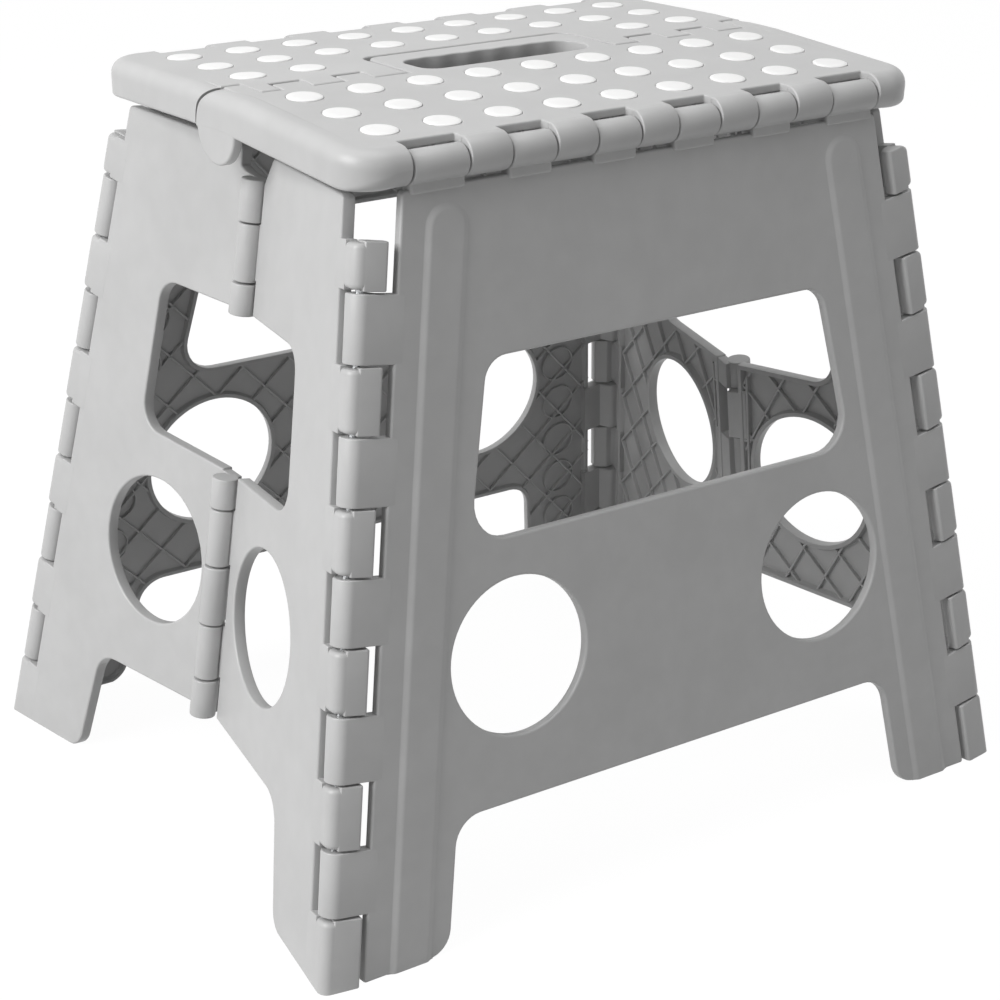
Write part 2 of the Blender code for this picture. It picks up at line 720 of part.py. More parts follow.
def pocket(name, frame, xs, start, end, top):
    loop = [(xs[0], start), (xs[1], start), (xs[1], end), (xs[0], end)]
    return prism(name, loop, frame, -2 * PAST, top)


# Cuts, joins and bores of the front half: tray, handle slot, room for the ears, and the round lugs
def front_top_tools(name, frame, side, skin):
    end = TOP_AXIS_Y + PAST * 2
    tray_end = seam_v(-1, SEAM_Y - SEAM_GAP) - TRAY_WALL
    under = TONGUE_X + 2 * SEAM_GAP
    below_tongue = ROLL_RADIUS - TONGUE_DEPTH
    cuts = [
        pocket(name + "_tray", frame, (-RIM_INNER_X, RIM_INNER_X), ROLL_BACK, tray_end, skin),
        pocket(name + "_under", frame, (-under, under), tray_end - TRAY_STEP, end, below_tongue),
    ]
    slot = filleted([
        (-SLOT_X, seam_v(-1, SLOT_FRONT_Y), SLOT_FILLET),
        (SLOT_X, seam_v(-1, SLOT_FRONT_Y), SLOT_FILLET),
        (SLOT_X, seam_v(-1, SLOT_REAR_Y), SLOT_FILLET),
        (-SLOT_X, seam_v(-1, SLOT_REAR_Y), SLOT_FILLET),
    ])
    cuts.append(prism(name + "_slot", slot, frame, -PAST, PAST))
    adds = []
    bores = []
    for sx in (-1, 1):
        xs = along_x(sx, under - TRAY_STEP, LUG_X - FACE_STEP)
        cuts.append(pocket(f"{name}_seam_{sx}", frame, xs, tray_end - SEAM_POCKET, end, skin))
        xs = along_x(sx, EAR_X[0] - EAR_ROOM, LUG_X - FACE_STEP)
        thin = ROLL_RADIUS - DECK_SKIN / 2
        cuts.append(pocket(f"{name}_ear_room_{sx}", frame, xs, tray_end - EAR_POCKET, end, thin))
        gone = lug_arc(LUG_FIRST, LUG_SPLIT)
        gone += [(0, -LUG_BACK), (2 * PAST, -LUG_BACK), (2 * PAST, PAST), (0, PAST)]
        ends = along_x(sx, LUG_X - LUG_INSET, TOP_HALF_X + PAST)
        cuts.append(prism(f"{name}_lug_cut_{sx}", gone, side, *ends))
        hang = lug_arc(LUG_JOIN, LUG_LAST) + list(LUG_NECK)
        adds.append(prism(f"{name}_lug_{sx}", hang, side, *along_x(sx, LUG_X, LUG_OUT_X)))
        pivot = [side @ Vector((0, 0, sx * x)) for x in (EAR_X[0] - PIVOT_SEAT, LUG_OUT_X - PIVOT_SEAT)]
        bores.append(rod(f"{name}_pivot_{sx}", *pivot, PIVOT_PIN_RADIUS + GAP, 12))
    return cuts, adds, bores


# Cuts, joins and bores of the rear half: tray, room for the lugs, and the ears with their wide holes
def rear_top_tools(name, frame, side, skin):
    end = TOP_AXIS_Y + PAST * 2
    cuts = [pocket(name + "_tray", frame, (-RIM_INNER_X, RIM_INNER_X), ROLL_BACK, end, skin)]
    adds = []
    bores = []
    for sx in (-1, 1):
        pivot = [side @ Vector((0, 0, sx * x)) for x in (LUG_X - SEAM_GAP, TOP_HALF_X + PAST)]
        cuts.append(rod(f"{name}_lug_cut_{sx}", *pivot, LUG_ROOM, 40))
        adds.append(prism(f"{name}_ear_{sx}", filleted(EAR, 2), side, *along_x(sx, *EAR_X)))
        ends = along_x(sx, EAR_X[0] - PIVOT_SEAT, EAR_X[1] + PIVOT_SEAT)
        bores.append(prism(f"{name}_ear_hole_{sx}", filleted(EAR_HOLE, 2), side, *ends))
    return cuts, adds, bores


def top_half(sy, name):
    frame = top_frame(sy)
    side = side_frame(frame)
    skin = ROLL_RADIUS - DECK_SKIN
    inner = seam_v(sy, FRONT_INNER_Y if sy < 0 else 0.0)
    outer = top_edge(inner)
    base = slab(name + "_slab", outer + top_seam(sy, inner), frame, len(outer))
    tools = front_top_tools if sy < 0 else rear_top_tools
    cuts, adds, bores = tools(name, frame, side, skin)
    cuts.append(prism(name + "_rim_relief", RIM_RELIEF, side, -TOP_HALF_X - PAST, TOP_HALF_X + PAST))
    for sx in (-1, 1):
        for i, (low, high) in enumerate(BARRELS):
            ends = top_axis_at(sy, sx * (low - BARREL_GAP)), top_axis_at(sy, sx * (high + BARREL_GAP))
            cuts.append(rod(f"{name}_tab_{sx}_{i}", *ends, ROLL_RADIUS + BARREL_GAP, 16))
    for i, (x, v) in enumerate(dot_places(sy)):
        ends = [frame @ Vector((x, v, n)) for n in (skin - DECK_SKIN / 2, ROLL_RADIUS + DECK_SKIN)]
        cuts.append(rod(f"{name}_hole_{i}", *ends, DOT_RADIUS + GAP / 2, 10))
    reach = HINGE_HALF_X + TOP_BORE_PAST
    ends = top_axis_at(sy, -reach), top_axis_at(sy, reach)
    bores.append(rod(name + "_pin_bore", *ends, TOP_PIN_RADIUS + GAP, 10))
    node(name, base, [cut(*cuts), join(*adds), cut(*bores)], grey)


# White pads that come up through the deck's holes, on one thin web under it
def grip_dots(sy, name):
    frame = top_frame(sy)
    level = ROLL_RADIUS - DECK_SKIN - GAP
    reach = DOT_RADIUS + DOT_WEB_EDGE
    near = TOP_AXIS_Y - DOT_ROWS[-1] - reach
    far = TOP_AXIS_Y - DOT_ROWS[0] + reach
    wide = DOT_SIDE * DOT_PITCH + reach
    web = [(-wide, near), (wide, near), (wide, far), (-wide, far)]
    if sy > 0:
        notch = TONGUE_X + SEAM_GAP + DOT_TONGUE_ROOM
        short = seam_v(sy, TONGUE_Y + SEAM_GAP) - DOT_TONGUE_ROOM
        web = web[:3] + [(notch, far), (notch, short), (-notch, short), (-notch, far), web[3]]
    base = prism(name + "_web", web, frame, level - DOT_WEB, level)
    dots = []
    for i, (x, v) in enumerate(dot_places(sy)):
        ends = [frame @ Vector((x, v, n)) for n in (level - DOT_WEB / 2, ROLL_RADIUS + DOT_RISE)]
        dots.append(rod(f"{name}_{i}", *ends, DOT_RADIUS, 10))
    node(name, base, [join(*dots)], white)


def pin(name, start, end, radius, sides=10):
    node(name, rod(name + "_rod", start, end, radius, sides), [], steel)


for sy, where in ((-1, "front"), (1, "rear")):
    side_panel(sy, where + "_side_panel")
    top_half(sy, where + "_top_panel")
    grip_dots(sy, where + "_grip_dots")
    reach = HINGE_HALF_X + TOP_PIN_PAST
    pin(where + "_top_pin", top_axis_at(sy, -reach), top_axis_at(sy, reach), TOP_PIN_RADIUS)
    for sx, hand in ((-1, "left"), (1, "right")):
        end_half(sx, sy, f"{hand}_{where}_end_panel", loose=(sx, sy) == (1, -1))
        start = corner_at(sx, sy, CORNER_PIN_FLOOR + PIN_PLAY)
        end = corner_at(sx, sy, KNUCKLE_TOP_Z - PIN_PLAY)
        pin(f"{hand}_{where}_corner_pin", start, end, CORNER_PIN_RADIUS)

pivot_side = side_frame(top_frame(-1))
for sx, hand in ((-1, "left"), (1, "right")):
    for part, heights in (("upper", UPPER_HINGE), ("lower", LOWER_HINGE)):
        start = middle_at(sx, heights[-1] + PIN_PLAY)
        end = middle_at(sx, heights[0] - PIN_PLAY)
        pin(f"{hand}_{part}_middle_pin", start, end, MIDDLE_PIN_RADIUS)
    inner = EAR_X[0] - PIN_PLAY
    outer = LUG_OUT_X - PIVOT_SEAT - PIN_PLAY / 2
    start, end = (pivot_side @ Vector((0, 0, sx * x)) for x in (inner, outer))
    pin(f"{hand}_centre_pin", start, end, PIVOT_PIN_RADIUS, 12)


# Empties on the joints' axes carry the pieces that turn on them; the rear side panel stands still
def hang(piece, axis):
    piece.parent = axis
    piece.matrix_parent_inverse = Matrix.Translation(-axis.location)


def joint_axis(name, place, parent, pieces):
    axis = bpy.data.objects.new(name, None)
    axis.empty_display_size = PAST
    axis.location = place
    stool.objects.link(axis)
    if parent:
        hang(axis, parent)
    for piece in pieces:
        hang(bpy.data.objects[piece], axis)
    return axis


joint_axis("rear_top_axis", top_axis_at(1, 0), None, ["rear_top_panel", "rear_grip_dots"])
for sx, hand in ((-1, "left"), (1, "right")):
    pieces = [f"{hand}_rear_end_panel", f"{hand}_upper_middle_pin", f"{hand}_lower_middle_pin"]
    corner = joint_axis(f"{hand}_rear_corner_axis", corner_at(sx, 1, 0), None, pieces)
    middle = joint_axis(f"{hand}_middle_axis", middle_at(sx, 0), corner, [f"{hand}_front_end_panel"])
    if hand == "left":
        pieces = ["front_side_panel", "left_front_corner_pin", "right_front_corner_pin", "front_top_pin"]
        front = joint_axis("left_front_corner_axis", corner_at(sx, -1, 0), middle, pieces)
        pieces = ["front_top_panel", "front_grip_dots", "left_centre_pin", "right_centre_pin"]
        joint_axis("front_top_axis", top_axis_at(-1, 0), front, pieces)
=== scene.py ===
import math

import bmesh
import bpy
from mathutils import Matrix, Vector


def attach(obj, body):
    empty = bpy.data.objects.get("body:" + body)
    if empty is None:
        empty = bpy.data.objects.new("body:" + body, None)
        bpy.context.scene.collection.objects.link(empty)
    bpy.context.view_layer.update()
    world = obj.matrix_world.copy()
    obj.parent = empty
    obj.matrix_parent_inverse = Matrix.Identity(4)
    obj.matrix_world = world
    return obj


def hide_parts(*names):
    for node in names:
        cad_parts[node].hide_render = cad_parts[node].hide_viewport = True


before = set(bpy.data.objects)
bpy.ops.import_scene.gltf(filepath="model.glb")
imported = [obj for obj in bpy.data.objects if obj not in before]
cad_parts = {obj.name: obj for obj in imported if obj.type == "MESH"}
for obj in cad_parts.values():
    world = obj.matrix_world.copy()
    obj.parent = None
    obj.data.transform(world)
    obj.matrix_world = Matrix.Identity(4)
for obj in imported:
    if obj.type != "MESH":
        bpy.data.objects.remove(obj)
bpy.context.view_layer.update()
print("frame loaded:", len(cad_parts), "nodes")

# places of the hinges, in metres: x along the wide panels, -y is the front
fold = {
    "apexX": 0.043,
    "apexZ": 1.127,
    "cornerX": 0.216,
    "cornerY": 0.1697,
    "middleX": 0.198,
    "topY": 0.118,
    "topZ": 0.3785,
    "topSlope": math.radians(2.22),
    "hingeGap": 0.001,
}
lean = math.atan2(fold["cornerY"], fold["apexZ"])


class Wire:
    # a shader socket that can stand in a Python sum
    def __init__(self, tree, socket=None):
        self.tree = tree
        self.socket = socket

    def add(self, kind, settings=None, inputs=None, output=0):
        made = self.tree.nodes.new(kind)
        for name, value in (settings or {}).items():
            if name == "stops":
                for stop, (place, colour) in zip(made.color_ramp.elements, value):
                    stop.position = place
                    stop.color = colour
            else:
                setattr(made, name, value)
        for name, value in (inputs or {}).items():
            if isinstance(value, Wire):
                self.tree.links.new(value.socket, made.inputs[name])
            else:
                made.inputs[name].default_value = value
        return Wire(self.tree, made.outputs[output])

    def math(self, operation, first, second):
        return self.add("ShaderNodeMath", {"operation": operation}, {0: first, 1: second})

    def __add__(self, other):
        return self.math("ADD", self, other)

    def __sub__(self, other):
        return self.math("SUBTRACT", self, other)

    def __rsub__(self, other):
        return self.math("SUBTRACT", other, self)

    def __mul__(self, other):
        return self.math("MULTIPLY", self, other)

    __radd__ = __add__
    __rmul__ = __mul__

    def into(self, socket):
        self.tree.links.new(self.socket, socket)


# finishes
greyPlastic = {
    "light": (0.53, 0.53, 0.529, 1),
    "dark": (0.495, 0.495, 0.494, 1),
    "roughness": 0.40,
    "roughnessSpread": 0.12,
    "cloudScale": 24,
    "flowScale": 95,
    "grainScale": 1500,
    "bump": 0.10,
    "bumpDepth": 0.00025,
}
whiteRubber = {
    "light": (0.95, 0.95, 0.945, 1),
    "dark": (0.91, 0.91, 0.905, 1),
    "roughness": 0.52,
    "roughnessSpread": 0.10,
    "cloudScale": 60,
    "flowScale": 210,
    "grainScale": 1100,
    "bump": 0.14,
    "bumpDepth": 0.00025,
}
pinSteel = {
    "light": (0.58, 0.59, 0.60, 1),
    "dark": (0.44, 0.45, 0.46, 1),
    "roughness": 0.22,
    "roughnessSpread": 0.18,
    "cloudScale": 70,
    "flowScale": 420,
    "grainScale": 2200,
    "bump": 0.06,
    "bumpDepth": 0.0002,
    "metal": 1.0,
}


def finish(name, look):
    material = bpy.data.materials.new(name)
    material.use_nodes = True
    shader = material.node_tree.nodes["Principled BSDF"]
    wire = Wire(material.node_tree)
    where = wire.add("ShaderNodeTexCoord", output="Object")

    def noise(scale, detail):
        inputs = {"Vector": where, "Scale": scale, "Detail": detail}
        return wire.add("ShaderNodeTexNoise", {}, inputs, "Fac")

    cloud = noise(look["cloudScale"], 4.0)
    flow = noise(look["flowScale"], 3.0)
    grain = noise(look["grainScale"], 2.0)
    tone = cloud * 0.65 + flow * 0.35
    stops = [(0.36, (0, 0, 0, 1)), (0.64, (1, 1, 1, 1))]
    spread = wire.add("ShaderNodeValToRGB", {"stops": stops}, {"Fac": tone})
    tones = {0: spread, 6: look["dark"], 7: look["light"]}
    colour = wire.add("ShaderNodeMix", {"data_type": "RGBA"}, tones, 2)
    colour.into(shader.inputs["Base Color"])
    gloss = look["roughness"] + (flow - 0.5) * look["roughnessSpread"] + (grain - 0.5) * 0.06
    gloss.into(shader.inputs["Roughness"])
    bump = wire.add(
        "ShaderNodeBump",
        {},
        {"Strength": look["bump"], "Distance": look["bumpDepth"], "Height": grain + flow * 0.5},
    )
    bump.into(shader.inputs["Normal"])
    shader.inputs["Metallic"].default_value = look.get("metal", 0.0)
    return material


plasticGrey = finish("moulded_grey", greyPlastic)
rubberWhite = finish("grip_rubber", whiteRubber)
steelBright = finish("drawn_steel", pinSteel)


# small tools for the shapes
def placed(across, up, out, origin):
    rows = [(across[i], up[i], out[i], origin[i]) for i in range(3)]
    return Matrix(rows + [(0, 0, 0, 1)])


def wound(corners, hole=False):
    # outer loops run one way and holes the other, so that left is always into the material
    area = sum(a[0] * b[1] - a[1] * b[0] for a, b in zip(corners, corners[1:] + corners[:1]))
    return corners if (area > 0) != hole else corners[::-1]


def loopAt(corners, inset, steps=8):
    # the loop with its sides moved into the material; corners are (u, v, radius)
    count = len(corners)
    points = [Vector(c[:2]) for c in corners]
    moved = []
    for i, here in enumerate(points):
        before = (here - points[i - 1]).normalized()
        after = (points[(i + 1) % count] - here).normalized()
        normal = Vector((-before.y - after.y, before.x + after.x))
        moved.append(here + normal * (2 * inset / normal.length_squared))
    found = []
    for i, here in enumerate(moved):
        radius = corners[i][2]
        if radius == 0:
            found.append(here)
            continue
        back = (points[i - 1] - points[i]).normalized()
        ahead = (points[(i + 1) % count] - points[i]).normalized()
        convex = back.x * ahead.y - back.y * ahead.x < 0
        radius = max(radius - inset, 0.00008) if convex else radius + inset
        half = back.angle(ahead) / 2
        middle = here + (back + ahead).normalized() * radius / math.sin(half)
        first = here + back * radius / math.tan(half) - middle
        sweep = math.pi - 2 * half
        for k in range(steps + 1):
            turn = sweep * k / steps * (1 if convex else -1)
            found.append(middle + Matrix.Rotation(turn, 2) @ first)
    return found


def roundLoop(u, v, radius, sides):
    turns = [2 * math.pi * k / sides for k in range(sides)]
    return [(u + radius * math.cos(turn), v + radius * math.sin(turn), 0) for turn in turns]


def boxLoop(left, low, right, high):
    return [(left, low, 0), (right, low, 0), (right, high, 0), (left, high, 0)]


def skinRings(made, rings):
    # one skin through the rings, grown edge by edge; gives its first and last edges
    loop = [made.verts.new(point) for point in rings[0]]
    first = [made.edges.new((loop[i - 1], loop[i])) for i in range(len(loop))]
    edges = first
    for ring in rings[1:]:
        grown = bmesh.ops.extrude_edge_only(made, edges=edges)["geom"]
        fresh = {item for item in grown if isinstance(item, bmesh.types.BMVert)}
        edges = [e for e in grown if isinstance(e, bmesh.types.BMEdge) and set(e.verts) <= fresh]
        stepped = []
        for vert in loop:
            rung = next(e for e in vert.link_edges if e.other_vert(vert) in fresh)
            stepped.append(rung.other_vert(vert))
        for vert, point in zip(stepped, ring):
            vert.co = point
        loop = stepped
    return first, edges


def join(made, part):
    holder = bpy.data.meshes.new("part")
    part.to_mesh(holder)
    part.free()
    made.from_mesh(holder)
    bpy.data.meshes.remove(holder)


def sweepLoops(made, loops, place, stations, steps=8, toFloor=False):
    # stations are (inset, level); both ends are filled
    part = bmesh.new()
    starts = []
    ends = []
    for corners in loops:
        rings = [
            [place @ Vector((p.x, p.y, level)) for p in loopAt(corners, inset, steps)]
            for inset, level in stations
        ]
        first, last = skinRings(part, rings)
        starts += first
        ends += last
    for edges in (starts, ends):
        bmesh.ops.triangle_fill(part, use_beauty=True, edges=edges, normal=place.col[2].xyz)
    if toFloor:
        cutSole(part)
    join(made, part)


def edgeStations(low, high, lowRound, highRound, steps=4, hold=0.0003):
    found = [(highRound + hold, high)]
    for k in range(steps + 1):
        turn = math.pi / 2 * k / steps
        found.append((highRound * (1 - math.sin(turn)), high - highRound * (1 - math.cos(turn))))
    for k in range(steps + 1):
        turn = math.pi / 2 * k / steps
        found.append((lowRound * (1 - math.cos(turn)), low + lowRound * (1 - math.sin(turn))))
    return found + [(lowRound + hold, low)]


def roundedPrism(made, corners, place, low, high, edge, steps=3, toFloor=False):
    stations = edgeStations(low, high, edge, edge, steps)
    sweepLoops(made, [wound(corners)], place, stations, toFloor=toFloor)


# stiffening ribs: rounding, how far they run into the skin, and where they end over the feet
ribs = {"edge": 0.0003, "sink": 0.0006, "footZ": 0.012}


def thinRib(made, corners, place, low, high):
    roundedPrism(made, corners, place, low, high, ribs["edge"], 1)


def trayPlate(made, loops, place, low, high, skin, wall, edge):
    # a moulded plate: rounded outer edge, a rim wall behind it and a thin skin inside
    stations = edgeStations(low, high, 0.0004, edge)[:-1]
    inner = high - skin
    stations += [(wall - 0.0003, low), (wall, low + 0.0003), (wall + 0.0004, inner - 0.0005)]
    stations += [(wall + 0.0008, inner), (wall + 0.0011, inner)]
    sweepLoops(made, loops, place, stations)


def cutSole(made):
    # flat underside of the feet
    geom = made.verts[:] + made.edges[:] + made.faces[:]
    gone = bmesh.ops.bisect_plane(
        made, geom=geom, dist=1e-6, plane_co=(0, 0, 0), plane_no=(0, 0, -1), clear_outer=True
    )
    rim = [item for item in gone["geom_cut"] if isinstance(item, bmesh.types.BMEdge)]
    bmesh.ops.triangle_fill(made, use_beauty=True, edges=rim, normal=(0, 0, 1))


def inLoop(point, loop):
    inside = False
    for a, b in zip(loop, loop[1:] + loop[:1]):
        if (a.y > point.y) != (b.y > point.y):
            if point.x < a.x + (b.x - a.x) * (point.y - a.y) / (b.y - a.y):
                inside = not inside
    return inside


def ribRuns(loops, pitch, slant, spacing=0.0015, least=0.010):
    # stretches of slanting lines that lie on the plate
    outer = loops[0]
    middle = sum(outer, Vector((0, 0))) / len(outer)
    reach = max((p - middle).length for p in outer)
    along = Vector((math.cos(slant), math.sin(slant)))
    across = Vector((-along.y, along.x))
    count = int(reach / pitch) + 1
    for k in range(-count, count + 1):
        start = None
        for t in range(int(2 * reach / spacing) + 2):
            point = middle + across * (k * pitch) + along * (t * spacing - reach)
            held = inLoop(point, outer) and not any(inLoop(point, hole) for hole in loops[1:])
            if held and start is None:
                start = point
            if not held and start is not None:
                if (point - start).length > least:
                    yield start, point
                start = None


def lattice(made, loops, place, low, high, look):
    # crossing stiffening ribs on the inside of a plate
    shrunk = [loopAt(corners, look["margin"], 4) for corners in loops]
    for slant in look["slants"]:
        for start, end in ribRuns(shrunk, look["pitch"], slant):
            along = (end - start).normalized() * look["tuck"]
            side = Vector((-along.y, along.x)).normalized() * look["half"]
            box = [start - along - side, end + along - side, end + along + side, start - along + side]
            thinRib(made, [(p.x, p.y, 0) for p in box], place, low, high)


def fingerLoop(reach, radius, rise, low, sides=20):
    # section of a hinge finger: flat back flush with its plate, round about the axis
    corners = [(reach, low, 0), (reach, rise, 0), (0.0, rise, 0)]
    for k in range(1, sides + 1):
        turn = math.pi / 2 + 1.25 * math.pi * k / sides
        tall = rise if math.sin(turn) > 0 else radius
        corners.append((radius * math.cos(turn), tall * math.sin(turn), 0))
    return corners + [(radius + 0.0014, low, 0)]


def keepPiece(name, made, material, body, nodes=()):
    bmesh.ops.recalc_face_normals(made, faces=made.faces)
    mesh = bpy.data.meshes.new(name)
    made.to_mesh(mesh)
    made.free()
    mesh.materials.append(material)
    mesh.shade_smooth()
    mesh.set_sharp_from_angle(angle=math.radians(38))
    piece = bpy.data.objects.new(name, mesh)
    bpy.context.scene.collection.objects.link(piece)
    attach(piece, body)
    if nodes:
        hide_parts(*nodes)


def onAxis(foot, sx, z):
    foot = Vector(foot)
    apex = Vector((sx * fold["apexX"], 0, fold["apexZ"]))
    return foot + (apex - foot) * (z / fold["apexZ"])


def cornerAt(sx, sy, z):
    return onAxis((sx * fold["cornerX"], sy * fold["cornerY"], 0), sx, z)


def middleAt(sx, z):
    return onAxis((sx * fold["middleX"], 0, 0), sx, z)


# corner hinges: tabs of the wide panels between knuckles of the ends
cornerHinge = {
    "count": 5,
    "topTab": 0.3080,
    "pitch": 0.0642,
    "length": 0.0315,
    "topKnuckle": 0.347,
    "radius": 0.0064,
    "edgeBack": 0.010,
    "panelBack": 0.0158,
    "reach": 0.0135,
    "round": 0.0007,
    "notch": 0.0028,
    "flange": 0.0108,
    "footFlange": 0.0136,
    "front": 0.0071,
}


def tabSpans():
    half = cornerHinge["length"] / 2
    for k in range(cornerHinge["count"]):
        centre = cornerHinge["topTab"] - k * cornerHinge["pitch"]
        yield centre - half, centre + half


def knuckleSpans():
    tabs = list(tabSpans())
    gap = fold["hingeGap"]
    tops = [cornerHinge["topKnuckle"]] + [low - gap for low, high in tabs]
    bottoms = [high + gap for low, high in tabs] + [0.0]
    return list(zip(bottoms, tops))


# wide side panels
widePanel = {
    "depth": 0.0075,
    "inner": 0.0028,
    "skin": 0.0022,
    "wall": 0.0026,
    "edge": 0.0012,
    "topZ": 0.3665,
    "footInner": 0.1507,
    "below": -0.0013,
    "footRound": 0.014,
    "arch": (0.1401, 0.0645, 0.016),
    "openingTop": (0.1042, 0.2838, 0.013),
    "openingBottom": (0.1210, 0.1972, 0.0180),
    "circle": (0.0973, 0.1372, 0.040),
    "ribTop": (0.1195, 0.3595),
    "ribBottom": (0.1750, -0.008),
    "ribHalf": 0.0130,
    "ribSlope": 0.0045,
    "ribRise": 0.0014,
    "topTabs": ((0.0121, 0.0364), (0.0619, 0.0855), (0.1109, 0.1400)),
    "barrel": (0.0014, -0.0012, 0.0080),
    "neckZ": (0.350, 0.377),
    "flapZ": 0.3643,
    "flapRise": 0.0016,
    "lattice": {
        "slants": (math.radians(45), math.radians(-45)),
        "pitch": 0.0225,
        "half": 0.0007,
        "tuck": 0.0018,
        "margin": 0.0030,
    },
    "latticeLow": 0.0034,
    "rings": 12,
    "ringRadius": 0.0118,
    "ringWall": 0.0009,
}


def panelFrame(sy):
    up = Vector((0, -sy * math.sin(lean), math.cos(lean)))
    out = Vector((0, sy * math.cos(lean), math.sin(lean)))
    return placed(Vector((1, 0, 0)), up, out, Vector((0, sy * fold["cornerY"], 0)))


def upPanel(z):
    return z / math.cos(lean)


def edgeX(z, back):
    return cornerAt(1, 1, z).x - back


def bothSides(half):
    return half + [(-u, v, radius) for u, v, radius in reversed(half)]


def sideLoops(look):
    low = look["below"]
    back = cornerHinge["panelBack"]
    half = [
        look["arch"],
        (look["footInner"], low, look["footRound"]),
        (edgeX(low, back), low, 0.0015),
        (edgeX(look["topZ"], back), look["topZ"], 0.003),
    ]
    outer = bothSides([(u, upPanel(z), radius) for u, z, radius in half])
    opening = [(u, upPanel(z), radius) for u, z, radius in (look["openingBottom"], look["openingTop"])]
    loops = [wound(outer), wound(bothSides(opening), hole=True)]
    u, z, radius = look["circle"]
    for sx in (-1, 1):
        loops.append(wound(roundLoop(sx * u, upPanel(z), radius, 72), hole=True))
    return loops


def softRib(made, look, place, sx):
    # the long low rib moulded into the outer face
    top, bottom, half = look["ribTop"], look["ribBottom"], look["ribHalf"]
    corners = [
        (bottom[0] - half, bottom[1], 0),
        (bottom[0] + half, bottom[1], 0),
        (top[0] + half, top[1], half * 0.96),
        (top[0] - half, top[1], half * 0.96),
    ]
    corners = wound([(sx * u, upPanel(z), radius) for u, z, radius in corners])
    stations = [(0.0, look["depth"] - 0.002), (0.0, look["depth"] - 0.0001)]
    for k in range(1, 9):
        part = k / 8
        rise = look["ribRise"] * (1 - math.cos(math.pi * part)) / 2
        stations.append((look["ribSlope"] * part, look["depth"] - 0.0001 + rise))
    stations.append((look["ribSlope"] + 0.0004, stations[-1][1]))
    sweepLoops(made, [corners], place, stations, 16, toFloor=True)


def topTab(made, look, place, sx, sy, low, high):
    # a barrel of the top hinge, its neck, and the thick flap that holds it to the panel
    start, end = sorted((sx * low, sx * high))
    along = placed((0, sy, 0), (0, 0, 1), (1, 0, 0), (0, sy * fold["topY"], fold["topZ"]))
    roundedPrism(made, roundLoop(*look["barrel"], 56), along, start - 0.0004, end + 0.0004, 0.0008)
    depth = look["depth"]
    root, tip = (upPanel(z) for z in look["neckZ"])
    neck = boxLoop(start + 0.0006, root, end - 0.0006, tip)
    roundedPrism(made, neck, place, 0.0005, depth - 0.0003, 0.0004)
    start, end, edge = start - 0.0003, end + 0.0003, upPanel(look["flapZ"])
    flap = [(start, edge, 0.0015), (end, edge, 0.0015), (end, tip, 0.001), (start, tip, 0.001)]
    stations = edgeStations(depth - 0.003, depth + look["flapRise"], 0.0002, 0.0010, 3)
    sweepLoops(made, [wound(flap)], place, stations)


def shortened(loops, low):
    # the same loops with the feet cut short, so that no rib runs below the sole
    outer = [(u, max(v, low), radius) for u, v, radius in loops[0]]
    return [outer] + loops[1:]


def sideShell(sy, where, look):
    place = panelFrame(sy)
    made = bmesh.new()
    loops = sideLoops(look)
    trayPlate(made, loops, place, look["inner"], look["depth"], look["skin"], look["wall"], look["edge"])
    cutSole(made)
    low, inner = look["latticeLow"], look["depth"] - look["skin"] + ribs["sink"]
    lattice(made, shortened(loops, ribs["footZ"]), place, low, inner, look["lattice"])
    ringStations = edgeStations(low, inner, 0.0002, 0.0002, 1, 0.0001)
    for sx in (-1, 1):
        softRib(made, look, place, sx)
        for k in range(look["rings"]):  # moulding rings along the back of the rib
            part = (k + 0.7) / (look["rings"] + 0.6)
            u = sx * (look["ribTop"][0] + (look["ribBottom"][0] - look["ribTop"][0]) * part)
            v = upPanel(look["topZ"] + (ribs["footZ"] - look["topZ"]) * part)
            ring = [
                wound(roundLoop(u, v, look["ringRadius"], 40)),
                wound(roundLoop(u, v, look["ringRadius"] - look["ringWall"], 40), hole=True),
            ]
            sweepLoops(made, ring, place, ringStations)
        for low, high in tabSpans():
            foot = cornerAt(sx, sy, low)
            along = cornerAt(sx, sy, high) - foot
            axis = along.normalized()
            inward = Vector((-sx, 0, 0))
            inward = (inward - axis * inward.dot(axis)).normalized()
            out = place.col[2].xyz
            reach = cornerHinge["panelBack"] + 0.004
            finger = fingerLoop(reach, cornerHinge["radius"], look["depth"] + 0.00003, 0.0006)
            tab = placed(inward, out, axis, foot)
            roundedPrism(made, finger, tab, 0, along.length, cornerHinge["round"])
        for low, high in look["topTabs"]:
            topTab(made, look, place, sx, sy, low, high)
    body = f"{where}_side"
    keepPiece(f"{body}_shell", made, plasticGrey, body, [f"{body}_panel"])


for sy, where in ((-1, "front"), (1, "rear")):
    sideShell(sy, where, widePanel)
print("wide panels made")

